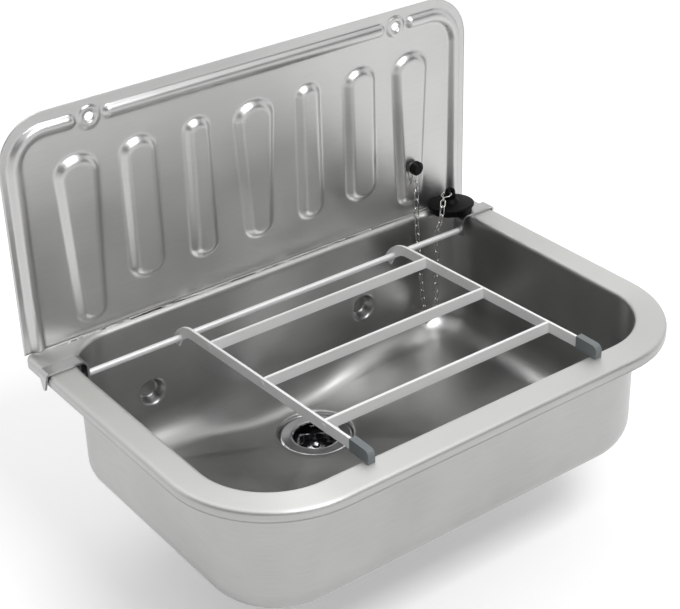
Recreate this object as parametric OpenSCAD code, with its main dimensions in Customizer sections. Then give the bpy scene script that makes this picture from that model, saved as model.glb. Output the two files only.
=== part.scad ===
// Wall-hung mop sink: pressed basin, embossed splashback, hinged bucket grid, waste, plug and chain.
// Origin: middle of the width, on the wall, at the level of the rim. The wall is at y = 0, +Z is up.

/* [Sheet] */
// Thickness of the stainless sheet
sheet = 1.2; // [0.8:0.1:1.5]

/* [Rim] */
// Width over the rim
rim_w = 500; // [480:5:600]
// Depth from the wall to the front edge of the rim
rim_d = 339; // [330:1:380]
// Height of the turned-down lip
lip_h = 9.6; // [7:0.2:14]
// Outer radius of the bend between rim and lip
lip_bend_r = 4; // [2.5:0.5:5]
// Front corner radius of the rim
rim_front_r = 98; // [60:1:110]
// Rear corner radius of the rim
rim_rear_r = 9; // [7:0.5:12]
// Rim outside the bowl at each side
rim_side = 26.5; // [22:0.5:40]
// Rim in front of the bowl
rim_front = 29.5; // [24:0.5:45]
// Rim behind the bowl
rim_rear = 11.2; // [9:0.2:14]

/* [Bowl] */
// Depth of the bowl at its walls
bowl_d = 131; // [115:1:160]
// Front corner radius of the bowl
bowl_front_r = 68; // [45:1:75]
// Rear corner radius of the bowl
bowl_rear_r = 48; // [42:1:60]
// Outer radius between wall and floor
foot_r = 31; // [20:1:36]
// Outer radius where the rim rolls down into the bowl
roll_r = 4.2; // [3:0.2:5]
// Fall of the floor towards the waste
floor_fall = 16; // [6:1:24]
// Radius of the recess round the waste
recess_r = 36; // [35.5:0.1:37]
// Depth of that recess
recess_d = 6; // [4:0.5:8]
// Distance between the two cups that rest on the wall
cup_spread = 246; // [220:2:270]
// How far the cups' middle lies left of the sink's middle
cup_shift = 11; // [0:1:12]
// Depth of the cups' centres below the rim
cup_drop = 80; // [60:1:85]
// Radius of a cup at the bowl's wall
cup_r = 12.8; // [8:0.2:14]
// How much narrower a cup is at its floor
cup_taper = 3; // [1:0.5:5]

/* [Splashback] */
// Rim's end to the splashback's side edge
panel_in = 1; // [0:0.5:5]
// Height of the splashback
panel_h = 216; // [210:1:240]
// Radius of its top corners
panel_corner_r = 45; // [38:1:60]
// Side edge to the centre of the border bead
border_side = 13.5; // [11:0.5:16]
// Top edge to the centre of the border bead
border_top = 16; // [12:0.5:18]
// Radius of the half-round border bead
border_r = 6; // [4:0.2:7]
// Distance between the wall screws
screw_spread = 326; // [300:2:340]
// Diameter of the wall screw holes
screw_hole = 8; // [5:0.5:8.5]
// Radius of the raised ring round a screw hole
boss_r = 7.6; // [7.5:0.1:8.5]
// Bare gap from the screw's centre to the bead's ends
screw_gap = 19; // [17:0.5:24]
// Distance between the middles of the raised panels
rib_pitch = 60; // [58:0.5:64]
// Height of the raised panels over the sheet
rib_h = 5.5; // [3:0.1:7]
// Top of the raised panels over the rim
rib_top = 170; // [150:1:175]
// Foot of the five inner raised panels over the rim
rib_foot = 34; // [20:1:60]
// Foot of the two outer raised panels over the rim
rib_foot_outer = 10; // [6:1:40]

/* [Hinge] */
// Diameter of the hinge rod
rod = 6; // [4:0.5:7]
// Wall to the rod's axis
rod_back = 39.7; // [39:0.1:42]
// Rod's axis below the rim
rod_drop = 15; // [13:0.5:20]
// Width of the rim clips
clip_w = 13; // [11:0.5:14]
// Thickness of the rim clips
clip_t = 2; // [1.5:0.1:2.5]
// Height of the clip over the rim
clip_gap = 0.3; // [0:0.1:0.5]
// Gap between the bowl's wall and the clip's leg
clip_clear = 9.1; // [8.9:0.1:12]
// Radius of the clip's inner bend
clip_bend_r = 7; // [5:0.5:8]

/* [Grid] */
// Distance between the side bars
grid_w = 244; // [200:2:300]
// Offset of the grid from the middle of the basin
grid_shift = 8; // [-20:1:20]
// Height of the bars
bar_h = 10; // [8:0.5:11]
// Thickness of the side bars
bar_t = 2.5; // [2:0.1:4]
// Thickness of the cross bars
cross_t = 3; // [2.5:0.1:4]
// Rise of the grid towards the front, in degrees
grid_rise = 2.2; // [1.8:0.1:2.6]
// Rod's axis to the shoulder at the front of the side bars
bar_len = 253.3; // [252:0.1:256]
// Rod's axis to the rear cross bar
cross_rear = 48.5; // [40:0.5:60]
// Rod's axis to the middle cross bar
cross_middle = 130.5; // [110:0.5:150]
// Rod's axis to the front cross bar
cross_front = 216.5; // [200:0.5:235]
// Length of the rubber feet
foot_len = 24.5; // [22:0.5:28]
// Width of the rubber feet
foot_w = 6.8; // [6:0.2:10]
// Height of the rubber feet over the rim
foot_h = 12; // [11.5:0.1:14]

/* [Waste] */
// Wall to the centre of the waste
waste_back = 80.2; // [80:0.1:84]
// Diameter of the waste flange
flange = 70; // [60:1:70]
// Diameter of the waste opening
waste_bore = 43; // [38:0.5:44]
// Outside diameter of the tail's thread
tail = 47.8; // [47:0.1:48]
// Length of the tail under the flange
tail_len = 62; // [50:1:90]

/* [Plug and chain] */
// Diameter of the plug's head
plug = 47; // [44:0.5:48]
// Height of the plug's body
plug_h = 8; // [7:0.5:10]
// Length of a chain link
link_len = 12; // [11.8:0.1:12.4]
// Width of a chain link
link_w = 6; // [5.4:0.1:6]
// Diameter of the chain's wire
wire = 1.2; // [0.8:0.1:1.3]
// Diameter of the anchor's cap
cap = 14; // [11:0.5:16]

/* [Hidden] */
$fn = 64;
// General running gap between neighbours
gap = 0.3;
// Clearance of a pin or tail in its hole
pin_fit = 0.05;
// Oversize that lets a cut pass clean through a face
over = 1;

// Bowl: outer faces of its walls, and the flat of the rim round it
bowl_x = rim_w / 2 - rim_side;
bowl_front = -(rim_d - rim_front);
bowl_rear = -rim_rear;
roll_out = roll_r - sheet;
clip_leg = bowl_x - sheet - clip_clear - clip_t;
floor_z = -(bowl_d - sheet);
floor_margin = 2;
recess_top = floor_z - floor_fall;
recess_z = recess_top - recess_d;
waste_hole_r = tail / 2 + 0.6;

// Splashback: width, border bead and its corner
panel_w = rim_w - 2 * panel_in;
border_x = panel_w / 2 - border_side;
border_z = panel_h - border_top;
// The sheet reaches down behind the rim's edge, a running gap from its bend
panel_foot = sqrt(pow(lip_bend_r + gap, 2) - pow(lip_bend_r - sheet, 2)) - lip_bend_r;
border_corner_r = panel_corner_r - (border_side + border_top) / 2;
screw_z = border_z;
// Raised panels: width at the top and at the foot, for the outer, second, third and middle one
rib_widths = [[42, 30], [36, 36], [27, 28.5], [42, 30]];
rib_last = len(rib_widths) - 1;
// The flank of a raised panel: how far in and how far up each ring of points lies, as shares of its height
rib_flank = [[0, 0], [0.62, 0.64], [0.95, 0.88], [1.4, 1]];
rib_steps = 20;

// Grid: height of the bars' middle over the rod's axis, and the hook round the rod
bar_mid = 10;
hook_fwd = 19.5;
hook_in = 27;
hook_out = hook_in + bar_h;
hook_end = 22;
tongue_h = 6;
tongue_len = foot_len - 6;
rivet_r = 2;
rivet_head_r = 2.6;
rivet_head_h = 0.4;
rod_spigot_r = 2;
foot_rear = rod_back + bar_len * cos(grid_rise) - (bar_mid - bar_h / 2) * sin(grid_rise);
foot_nose_r = 5.5;

// Waste stack, from the recess floor upwards and downwards
gasket_t = 1;
flange_z = recess_z + gasket_t;
flange_t = 2;
flange_edge = 1;
washer_t = 3;
nut_h = 10;
nut_r = 31;
nut_lug = 4;
under_z = recess_z - sheet - washer_t;
groove_h = 2;
groove_deep = 0.6;
strainer_drop = 16;
strainer_t = 2;
strainer_rise = 3;
strainer_ring = 12.6;
strainer_hole = 10.8;
strainer_hub_r = 4;
ledge = 2;

// Plug, ring and anchor
plug_x = 213.7;
plug_y = -25.5;
plug_taper = 2.5;
// The plug leans on the rear edge of the right clip's strap and on the rim behind
plug_foot_r = plug / 2 - plug_taper;
plug_tilt = asin((clip_gap + clip_t) / (rod_back - clip_w / 2 + plug_y + plug_foot_r));
eye_z = 19;
eye_r = 2.4;
neck_r = 6.5;
neck_h = 5;
lug_t = 4;
lug_r = 5;
ring_r = 5;
ring_wire = 1.4;
ring_tilt = 15;
anchor_x = 3 * rib_pitch;
anchor_z = 53;
cap_gap = 3.6;
cap_h = 6;
stud_r = 2.5;
anchor_face = -(sheet + rib_h);
drop_ring = 4.4;
drop_tip = 1.6;
drop_len = 13.5;
drop_lean = 10;
nut_w = 9;
nut_t = 4;
// Distance between the joints of the chain: a link's inside length less a little slack
chain_pitch = link_len - 2 * wire - gap;
// Route of the chain, from the anchor's ring down into the bowl and up over the plug
chain_route = [
    [180, -10.8, 38.1], [178.5, -14.5, 29], [176, -17, 3], [177, -19, -28], [180, -21.5, -80],
    [182.2, -23.5, -106], [184.5, -24.5, -115], [190, -26.5, -115], [191.5, -27.5, -106],
    [192, -29, -90], [191, -31, -36], [189, -32.2, -12], [189.6, -35.6, -4], [189.8, -38.8, 3],
    [190.4, -39.4, 13], [194.2, -36, 17], [200, -29.6, 19], [205.5, -24.3, 18.9]
];

// Rounded rectangle seen from above: half width, rear and front edge, rear and front corner radius
module plan(x, rear, front, rear_r, front_r) {
    translate([-x, front + front_r])
        square([2 * x, rear - rear_r - front - front_r]);
    translate([-x + front_r, front])
        square([2 * (x - front_r), front_r + over]);
    translate([-x + rear_r, rear - rear_r - over])
        square([2 * (x - rear_r), rear_r + over]);
    for (side = [-1, 1]) {
        translate([side * (x - front_r), front + front_r])
            circle(front_r);
        translate([side * (x - rear_r), rear - rear_r])
            circle(rear_r);
    }
}

// A straight run of a section, outward along +X and up along Y, at x and centred on the Y axis
module run(x, length) {
    translate([x, length / 2, 0])
        rotate([90, 0, 0])
            linear_extrude(length)
                children();
}

// Carries a section round a plan: x = 0 of the section lies on the plan's edge
module carry(x, rear, front, rear_r, front_r) {
    side_len = rear - rear_r - front - front_r;
    side_mid = (rear - rear_r + front + front_r) / 2;
    rotate([0, 0, 90])
        run(rear, 2 * (x - rear_r))
            children();
    rotate([0, 0, -90])
        run(-front, 2 * (x - front_r))
            children();
    for (side = [0, 1]) {
        mirror([side, 0, 0]) {
            translate([0, side_mid, 0])
                run(x, side_len)
                    children();
            translate([x - rear_r, rear - rear_r, 0])
                rotate_extrude(angle = 90)
                    translate([rear_r, 0])
                        children();
            translate([x - front_r, front + front_r, 0])
                rotate([0, 0, -90])
                    rotate_extrude(angle = 90)
                        translate([front_r, 0])
                            children();
        }
    }
}

// Quarter of a bent sheet round a centre: outer radius, and the corner it fills
module bend(r, thick, corner) {
    intersection() {
        difference() {
            circle(r);
            circle(r - thick);
        }
        translate([corner[0] > 0 ? 0 : -r, corner[1] > 0 ? 0 : -r])
            square(r);
    }
}

// Section of the lip: bend, then the leg down
module lip_section() {
    translate([-lip_bend_r, -lip_bend_r])
        bend(lip_bend_r, sheet, [1, 1]);
    translate([-sheet, -lip_h])
        square([sheet, lip_h - lip_bend_r]);
}

// Section of the bowl: roll at the rim, wall, bend into the floor
module bowl_section() {
    translate([roll_out, -roll_r])
        bend(roll_r, sheet, [-1, 1]);
    translate([-sheet, -bowl_d + foot_r])
        square([sheet, bowl_d - foot_r - roll_r]);
    translate([-foot_r, -bowl_d + foot_r])
        bend(foot_r, sheet, [1, -1]);
}

// The floor's fall: from the flat beside the walls to the edge of the recess, grown by a thickness
module fall_form(grow) {
    flat_in = foot_r + floor_margin;
    hull() {
        translate([0, 0, floor_z - grow])
            linear_extrude(grow > 0 ? sheet / 2 : over)
                plan(
                    bowl_x - flat_in + grow, bowl_rear - flat_in + grow, bowl_front + flat_in - grow,
                    bowl_rear_r - flat_in + grow, bowl_front_r - flat_in + grow, $fn = 32
                );
        translate([0, -waste_back, recess_top - grow])
            cylinder(h = sheet / 2, r = recess_r + grow);
    }
}

// One of the two cups that stand off the bowl from the wall, grown by a thickness
module cup_form(grow) {
    translate([0, bowl_rear - sheet - (grow > 0 ? 0 : over), -cup_drop])
        rotate([-90, 0, 0])
            cylinder(
                h = rim_rear + (grow > 0 ? sheet : over), r1 = cup_r + grow, r2 = cup_r - cup_taper + grow
            );
}

module basin() {
    color("gainsboro")
        difference() {
            union() {
                carry(rim_w / 2, 0, -rim_d, rim_rear_r, rim_front_r)
                    lip_section();
                translate([0, 0, -sheet])
                    linear_extrude(sheet)
                        difference() {
                            plan(
                                rim_w / 2 - lip_bend_r, -lip_bend_r, -rim_d + lip_bend_r,
                                rim_rear_r - lip_bend_r, rim_front_r - lip_bend_r
                            );
                            plan(
                                bowl_x + roll_out, bowl_rear + roll_out, bowl_front - roll_out,
                                bowl_rear_r + roll_out, bowl_front_r + roll_out
                            );
                        }
                carry(bowl_x, bowl_rear, bowl_front, bowl_rear_r, bowl_front_r)
                    bowl_section();
                translate([0, 0, -bowl_d])
                    linear_extrude(sheet)
                        plan(
                            bowl_x - foot_r, bowl_rear - foot_r, bowl_front + foot_r,
                            bowl_rear_r - foot_r, bowl_front_r - foot_r
                        );
                fall_form(sheet);
                translate([0, -waste_back, recess_z - sheet])
                    cylinder(h = recess_d + sheet, r = recess_r + sheet);
                for (side = [-1, 1])
                    translate([side * cup_spread / 2 - cup_shift, 0, 0])
                        cup_form(sheet);
            }
            fall_form(0);
            translate([0, -waste_back, recess_z])
                cylinder(h = recess_d + over, r = recess_r);
            translate([0, -waste_back, recess_z - sheet - over])
                cylinder(h = sheet + 2 * over, r = waste_hole_r);
            for (side = [-1, 1])
                translate([side * cup_spread / 2 - cup_shift, 0, 0])
                    cup_form(0);
        }
}

// Drawn-down end of the border bead
module border_end(r) {
    cylinder(h = 0.4 * r, r1 = r, r2 = 0.85 * r);
    translate([0, 0, 0.4 * r])
        cylinder(h = 0.4 * r, r1 = 0.85 * r, r2 = 0.4 * r);
}

// Border bead as a bar along its line: radius of the bar
module border(r) {
    middle = screw_spread / 2 - screw_gap;
    side_end = screw_spread / 2 + screw_gap;
    corner_x = border_x - border_corner_r;
    corner_z = border_z - border_corner_r;
    translate([-middle, 0, border_z])
        rotate([0, 90, 0])
            cylinder(h = 2 * middle, r = r);
    for (side = [-1, 1])
        translate([side * middle, 0, border_z])
            rotate([0, side * 90, 0])
                border_end(r);
    for (side = [0, 1]) {
        mirror([side, 0, 0]) {
            translate([side_end, 0, border_z])
                rotate([0, -90, 0])
                    border_end(r);
            translate([side_end, 0, border_z])
                rotate([0, 90, 0])
                    cylinder(h = corner_x - side_end, r = r);
            translate([corner_x, 0, corner_z])
                rotate([90, 0, 0])
                    rotate_extrude(angle = 90)
                        translate([border_corner_r, 0])
                            circle(r, $fn = 32);
            translate([border_x, 0, 0])
                cylinder(h = corner_z, r = r);
        }
    }
}

// Ring round a wall screw, of the same half-round form
module screw_ring(r) {
    for (side = [-1, 1])
        translate([side * screw_spread / 2, 0, screw_z])
            rotate([90, 0, 0])
                rotate_extrude()
                    translate([boss_r, 0])
                        circle(r, $fn = 32);
}

// Points round a raised panel: drawn in by inset, at height h over the sheet's front
function rib_ring(top_w, foot_w, foot, top, inset, h) = [
    for (i = [0 : 2 * rib_steps - 1])
        let (
            up = i < rib_steps,
            turn = (i % rib_steps) * 180 / (rib_steps - 1) + (up ? 0 : 180),
            half = (up ? top_w : foot_w) / 2,
            rise = min(half, 0.82 * half)
        )
            [
                (half - inset) * cos(turn),
                -sheet - h,
                (up ? top - rise : foot + rise) + (rise - inset) * sin(turn)
            ]
];

// All seven raised panels as one closed form; drop lowers it by the sheet to give the hollow behind
module ribs(drop) {
    count = 2 * rib_steps;
    rings = len(rib_flank) + 1;
    levels = concat([[0, -sheet / 2 / rib_h]], rib_flank);
    shifts = [for (i = [-rib_last : rib_last]) i];
    points = [
        for (i = shifts)
            let (kind = rib_last - abs(i), foot = kind == 0 ? rib_foot_outer : rib_foot)
                for (f = levels)
                    for (p = rib_ring(
                        rib_widths[kind][0], rib_widths[kind][1], foot, rib_top,
                        f[0] * rib_h + drop * 0.42, f[1] * rib_h - drop
                    ))
                        p + [i * rib_pitch, 0, 0]
    ];
    faces = [
        for (n = [0 : len(shifts) - 1])
            let (base = n * rings * count)
                each concat(
                    [[for (i = [0 : count - 1]) base + i]],
                    [
                        for (k = [0 : rings - 2])
                            for (i = [0 : count - 1])
                                let (j = (i + 1) % count, a = base + k * count, b = a + count)
                                    [a + i, b + i, b + j, a + j]
                    ],
                    [[for (i = [count - 1 : -1 : 0]) base + (rings - 1) * count + i]]
                )
    ];
    polyhedron(points = points, faces = faces, convexity = 8);
}

module splashback() {
    color("silver")
        difference() {
            union() {
                rotate([90, 0, 0])
                    linear_extrude(sheet) {
                        translate([-panel_w / 2, panel_foot])
                            square([panel_w, panel_h - panel_corner_r - panel_foot]);
                        translate([-panel_w / 2 + panel_corner_r, panel_foot])
                            square([panel_w - 2 * panel_corner_r, panel_h - panel_foot]);
                        for (side = [-1, 1])
                            translate([side * (panel_w / 2 - panel_corner_r), panel_h - panel_corner_r])
                                circle(panel_corner_r);
                    }
                intersection() {
                    union() {
                        border(border_r);
                        screw_ring(border_r / 2);
                    }
                    translate([-panel_w / 2, -border_r - over, 0])
                        cube([panel_w, border_r + over - sheet / 2, panel_h]);
                }
                ribs(0);
            }
            border(border_r - sheet);
            screw_ring(border_r / 2 - sheet);
            ribs(sheet);
            for (side = [-1, 1])
                translate([side * screw_spread / 2, over, screw_z])
                    rotate([90, 0, 0])
                        cylinder(h = border_r + 2 * over, d = screw_hole);
            translate([anchor_x, over, anchor_z])
                rotate([90, 0, 0])
                    cylinder(h = rib_h + sheet + 2 * over, r = stud_r + pin_fit);
        }
}

// Rim clip on the right side: strap over the rim, tongue outside, leg that carries the rod
module rim_clip() {
    lip_face = rim_w / 2 + 2 * gap;
    strap_z = clip_gap + clip_t;
    out_r = clip_t + 2;
    leg_end = rod_drop + 4;
    tongue_end = lip_h + 6.4;
    color("lightgray")
        difference() {
            union() {
                translate([0, clip_w / 2 - rod_back, 0])
                    rotate([90, 0, 0])
                        linear_extrude(clip_w) {
                            translate([clip_leg, -leg_end])
                                square([clip_t, leg_end + strap_z - clip_bend_r]);
                            translate([clip_leg + clip_bend_r, strap_z - clip_bend_r])
                                bend(clip_bend_r, clip_t, [-1, 1]);
                            translate([clip_leg + clip_bend_r, clip_gap])
                                square([lip_face + clip_t - out_r - clip_leg - clip_bend_r, clip_t]);
                            translate([lip_face + clip_t - out_r, strap_z - out_r])
                                bend(out_r, clip_t, [1, 1]);
                        }
                translate([lip_face, -rod_back, 0])
                    rotate([90, 0, 90])
                        linear_extrude(clip_t) {
                            polygon([
                                [-clip_w / 2, strap_z - out_r], [-2, 2 - tongue_end],
                                [2, 2 - tongue_end], [clip_w / 2, strap_z - out_r]
                            ]);
                            translate([0, 2 - tongue_end])
                                circle(2);
                        }
            }
            translate([clip_leg - over, -rod_back, -rod_drop])
                rotate([0, 90, 0])
                    cylinder(h = clip_t + 2 * over, r = rod_spigot_r + pin_fit);
        }
}

module hinge_rod() {
    color("lightgray")
        translate([0, -rod_back, -rod_drop])
            rotate([0, 90, 0]) {
                cylinder(h = 2 * clip_leg, d = rod, center = true);
                cylinder(h = 2 * (clip_leg + clip_t), r = rod_spigot_r, center = true);
            }
}

// Puts a drawing in the grid's own frame: origin on the rod's axis, risen towards the front
module in_grid() {
    translate([0, -rod_back, -rod_drop])
        rotate([-grid_rise, 0, 0])
            children();
}

// Extrudes a side view along x, from x over a thickness
module side_view(x, thick) {
    translate([x, 0, 0])
        rotate([90, 0, 90])
            linear_extrude(thick)
                children();
}

// Tongue at the front of a side bar, which the rubber foot holds
module tongue_section() {
    translate([-bar_len - tongue_len, bar_mid - tongue_h / 2])
        square([tongue_len + over, tongue_h]);
}

// Side view of a side bar: straight bar, tongue in front, hook over the rod behind
module side_bar_section() {
    reach = 2 * hook_out;
    difference() {
        union() {
            translate([-bar_len, bar_mid - bar_h / 2])
                square([bar_len - hook_fwd, bar_h]);
            tongue_section();
            translate([-hook_fwd, bar_mid + bar_h / 2 - hook_out])
                intersection() {
                    difference() {
                        circle(hook_out, $fn = 96);
                        circle(hook_in, $fn = 96);
                    }
                    polygon([
                        [0, 0], [0, reach], [reach, reach], [reach * cos(hook_end), reach * sin(hook_end)]
                    ]);
                }
        }
        circle(rod / 2 + gap);
        for (y = [cross_rear, cross_middle, cross_front])
            translate([-y, bar_mid])
                circle(rivet_r + pin_fit);
    }
}

module side_bar(side) {
    color("silver")
        in_grid()
            side_view(grid_shift + side * grid_w / 2 - bar_t / 2, bar_t)
                side_bar_section();
}

// Cross bar between the side bars, with a riveted round end through each
module cross_bar(y) {
    inner = grid_w - bar_t;
    rivet_len = grid_w + bar_t;
    stub = bar_t + gap;
    color("silver")
        in_grid()
            translate([grid_shift, -y, bar_mid]) {
                cube([inner, cross_t, bar_h], center = true);
                for (side = [-1, 1]) {
                    translate([side * (rivet_len - stub) / 2, 0, 0])
                        rotate([0, 90, 0])
                            cylinder(h = stub, r = rivet_r, center = true);
                    translate([side * (rivet_len + rivet_head_h) / 2, 0, 0])
                        rotate([0, 90, 0])
                            cylinder(h = rivet_head_h, r = rivet_head_r, center = true);
                }
            }
}

// Rubber foot: side view with a round nose, less the tongue it grips
module foot(side) {
    x = grid_shift + side * grid_w / 2;
    nose = -foot_rear - foot_len;
    color("dimgray")
        difference() {
            side_view(x - foot_w / 2, foot_w) {
                translate([nose, gap])
                    square([foot_len, foot_h - foot_nose_r - gap]);
                translate([nose + foot_nose_r, gap])
                    square([foot_len - foot_nose_r, foot_h - gap]);
                translate([nose + foot_nose_r, foot_h - foot_nose_r])
                    circle(foot_nose_r);
            }
            in_grid()
                side_view(x - bar_t / 2, bar_t)
                    tongue_section();
        }
}

// Waste body: flange with a bevelled face, opening with a rounded lip, ledge, grooved tail
module waste_flange() {
    bore_r = waste_bore / 2;
    groove_z = under_z - nut_h - gap - flange_z;
    color("gainsboro")
        translate([0, -waste_back, flange_z])
            rotate_extrude()
                polygon([
                    [bore_r - ledge, -tail_len], [tail / 2, -tail_len], [tail / 2, groove_z - groove_h],
                    [tail / 2 - groove_deep, groove_z - groove_h], [tail / 2 - groove_deep, groove_z],
                    [tail / 2, groove_z], [tail / 2, 0], [flange / 2, 0],
                    [flange / 2, flange_edge], [flange / 2 - 2, flange_t], [bore_r + 3, flange_t],
                    [bore_r + 1.2, flange_t - 0.5], [bore_r + 0.3, flange_t - 1.6], [bore_r, flange_t - 4],
                    [bore_r, flange_t - strainer_drop - strainer_t],
                    [bore_r - ledge, flange_t - strainer_drop - strainer_t]
                ]);
}

// Star strainer: six round openings round a domed hub, on the ledge in the waste
module strainer() {
    rim_r = waste_bore / 2 - gap;
    color("silver")
        translate([0, -waste_back, flange_z + flange_t - strainer_drop - strainer_t]) {
            difference() {
                union() {
                    cylinder(h = strainer_t, r = rim_r);
                    translate([0, 0, strainer_t])
                        cylinder(h = strainer_rise, r1 = rim_r - 3.5, r2 = strainer_hub_r + 0.5);
                }
                for (i = [0 : 5])
                    rotate([0, 0, 60 * i])
                        translate([strainer_ring, 0, -over])
                            cylinder(h = strainer_t + strainer_rise + 2 * over, d = strainer_hole);
            }
            translate([0, 0, strainer_t + strainer_rise])
                sphere(strainer_hub_r);
        }
}

module flange_gasket() {
    color("black")
        translate([0, -waste_back, recess_z])
            difference() {
                cylinder(h = gasket_t, d = flange - 2);
                translate([0, 0, -over])
                    cylinder(h = gasket_t + 2 * over, r = waste_hole_r);
            }
}

module waste_washer() {
    color("black")
        translate([0, -waste_back, under_z])
            difference() {
                cylinder(h = washer_t, r = nut_r + 2);
                translate([0, 0, -over])
                    cylinder(h = washer_t + 2 * over, r = waste_hole_r);
            }
}

// Round nut with four lugs to turn it by
module waste_backnut() {
    color("gray")
        translate([0, -waste_back, under_z - nut_h])
            difference() {
                union() {
                    cylinder(h = nut_h, r = nut_r);
                    for (i = [0 : 3])
                        rotate([0, 0, 90 * i + 45])
                            translate([-nut_r - nut_lug, -nut_lug, 0])
                                cube([nut_lug + over, 2 * nut_lug, nut_h]);
                }
                translate([0, 0, -over])
                    cylinder(h = nut_h + 2 * over, r = tail / 2 + pin_fit);
            }
}

// Puts a drawing in the plug's own frame: origin in the middle of its foot
module in_plug() {
    translate([plug_x, plug_y + plug_foot_r, gap])
        rotate([-plug_tilt, 0, 0])
            translate([0, -plug_foot_r, 0])
                children();
}

// Rubber plug: tapered body, neck and lug with an eye
module plug_body() {
    head_r = plug / 2;
    color("black")
        in_plug()
            difference() {
                union() {
                    rotate_extrude()
                        polygon([
                            [0, 0], [plug_foot_r, 0], [plug_foot_r + 1, plug_h - 3.5],
                            [head_r, plug_h - 2.5], [head_r, plug_h - 1], [head_r - 1.2, plug_h],
                            [neck_r + 2.5, plug_h + 1.5], [neck_r, plug_h + neck_h], [0, plug_h + neck_h]
                        ]);
                    translate([0, lug_t / 2, 0])
                        rotate([90, 0, 0])
                            linear_extrude(lug_t) {
                                translate([-lug_r, plug_h + neck_h - over])
                                    square([2 * lug_r, eye_z - plug_h - neck_h + over]);
                                translate([0, eye_z])
                                    circle(lug_r);
                            }
                }
                translate([0, lug_t, eye_z])
                    rotate([90, 0, 0])
                        cylinder(h = 2 * lug_t, r = eye_r);
            }
}

// Split ring through the plug's eye, leaning towards the bowl
module plug_ring() {
    color("silver")
        in_plug()
            translate([0, 0, eye_z])
                rotate([0, -ring_tilt, 0])
                    translate([-ring_r, 0, 0])
                        rotate_extrude()
                            translate([ring_r, 0])
                                circle(d = ring_wire, $fn = 24);
}

// One oval link, lying along z with its width along x
module link() {
    bend_r = (link_w - wire) / 2;
    half = link_len / 2 - wire / 2 - bend_r;
    for (end = [0, 1])
        mirror([0, 0, end])
            translate([0, 0, half])
                rotate([90, 0, 0])
                    rotate_extrude(angle = 180)
                        translate([bend_r, 0])
                            circle(d = wire, $fn = 16);
    for (side = [-1, 1])
        translate([side * bend_r, 0, 0])
            cylinder(h = 2 * half, d = wire, center = true, $fn = 16);
}

// Length of the route up to each of its points, and the point at a length along it
function route_sums(route, i = 0, sum = 0) =
    i == len(route) - 1 ? [sum] : concat([sum], route_sums(route, i + 1, sum + norm(route[i + 1] - route[i])));
route_at = route_sums(chain_route);
route_len = route_at[len(route_at) - 1];
function along(s) =
    let (
        hit = [for (i = [0 : len(chain_route) - 2]) if (s <= route_at[i + 1] + 0.001) i],
        i = hit[0],
        part = (s - route_at[i]) / (route_at[i + 1] - route_at[i])
    )
        chain_route[i] + part * (chain_route[i + 1] - chain_route[i]);
link_count = ceil(route_len / chain_pitch);

// Oval links along the route, each turned a quarter from the last
module chain() {
    step = route_len / link_count;
    color("silver")
        for (i = [0 : link_count - 1]) {
            a = along(i * step);
            b = along((i + 1) * step);
            d = (b - a) / norm(b - a);
            translate((a + b) / 2)
                rotate([-asin(d[1]), atan2(d[0], d[2]), 0])
                    rotate([0, 0, i % 2 == 0 ? 90 : 0])
                        link();
        }
}

// Drop-shaped wire ring that hangs on the anchor's stud; its legs are a hair thinner and end inside the bends
module anchor_ring() {
    weld = 0.12;
    hair = 0.05;
    lean = asin((drop_ring - drop_tip) / drop_len);
    side = drop_len * cos(lean);
    color("silver")
        translate([anchor_x, anchor_face - gap - wire / 2, anchor_z + stud_r + gap + wire / 2])
            rotate([90 - drop_lean, 0, 0])
                translate([0, -drop_ring, 0]) {
                    rotate([0, 0, -lean])
                        rotate_extrude(angle = 180 + 2 * lean)
                            translate([drop_ring, 0])
                                circle(d = wire, $fn = 16);
                    translate([0, -drop_len, 0])
                        rotate([0, 0, 180 + lean])
                            rotate_extrude(angle = 180 - 2 * lean)
                                translate([drop_tip, 0])
                                    circle(d = wire, $fn = 16);
                    for (m = [0, 1])
                        mirror([m, 0, 0])
                            rotate([0, 0, -lean])
                                translate([drop_ring, weld, 0])
                                    rotate([90, 0, 0])
                                        cylinder(h = side + 2 * weld, d = wire - hair, $fn = 16);
                }
}

// Black cap with its stud through the splashback
module chain_anchor() {
    color("black")
        translate([anchor_x, 0, anchor_z])
            rotate([90, 0, 0]) {
                translate([0, 0, 0.5])
                    cylinder(h = sheet + rib_h + cap_gap, r = stud_r);
                translate([0, 0, sheet + rib_h + cap_gap])
                    cylinder(h = cap_h - 2, d = cap);
                translate([0, 0, sheet + rib_h + cap_gap + cap_h - 2])
                    cylinder(h = 2, d1 = cap, d2 = cap - 5);
            }
}

module anchor_nut() {
    color("gray")
        translate([anchor_x, -rib_h, anchor_z])
            rotate([-90, 0, 0])
                difference() {
                    cylinder(h = nut_t, d = nut_w, $fn = 6);
                    translate([0, 0, -over])
                        cylinder(h = nut_t + 2 * over, r = stud_r + pin_fit);
                }
}

basin();
splashback();
mirror([1, 0, 0]) rim_clip();  // rim_clip_left
rim_clip();  // rim_clip_right
hinge_rod();
side_bar(-1);  // side_bar_left
side_bar(1);  // side_bar_right
cross_bar(cross_rear);  // cross_bar_rear
cross_bar(cross_middle);  // cross_bar_middle
cross_bar(cross_front);  // cross_bar_front
foot(-1);  // foot_left
foot(1);  // foot_right
waste_flange();
strainer();
flange_gasket();
waste_washer();
waste_backnut();
plug_body();
plug_ring();
chain();
anchor_ring();
chain_anchor();
anchor_nut();
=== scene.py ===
# %% [markdown]
# # A mop sink in pressed stainless steel
#
# The real thing hangs on a wall: a deep-drawn basin, a pressed splashback, a bucket grid that turns up on a
# rod, a strainer waste, and a rubber plug on a chain. The exact frame of it is loaded first, and nothing
# in that frame is moved. Each later step gives one piece or one finish the look of the real one.

# %% Load the frame
import math

import bmesh
import bpy
import numpy as np
from mathutils import Matrix, Vector


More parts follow.
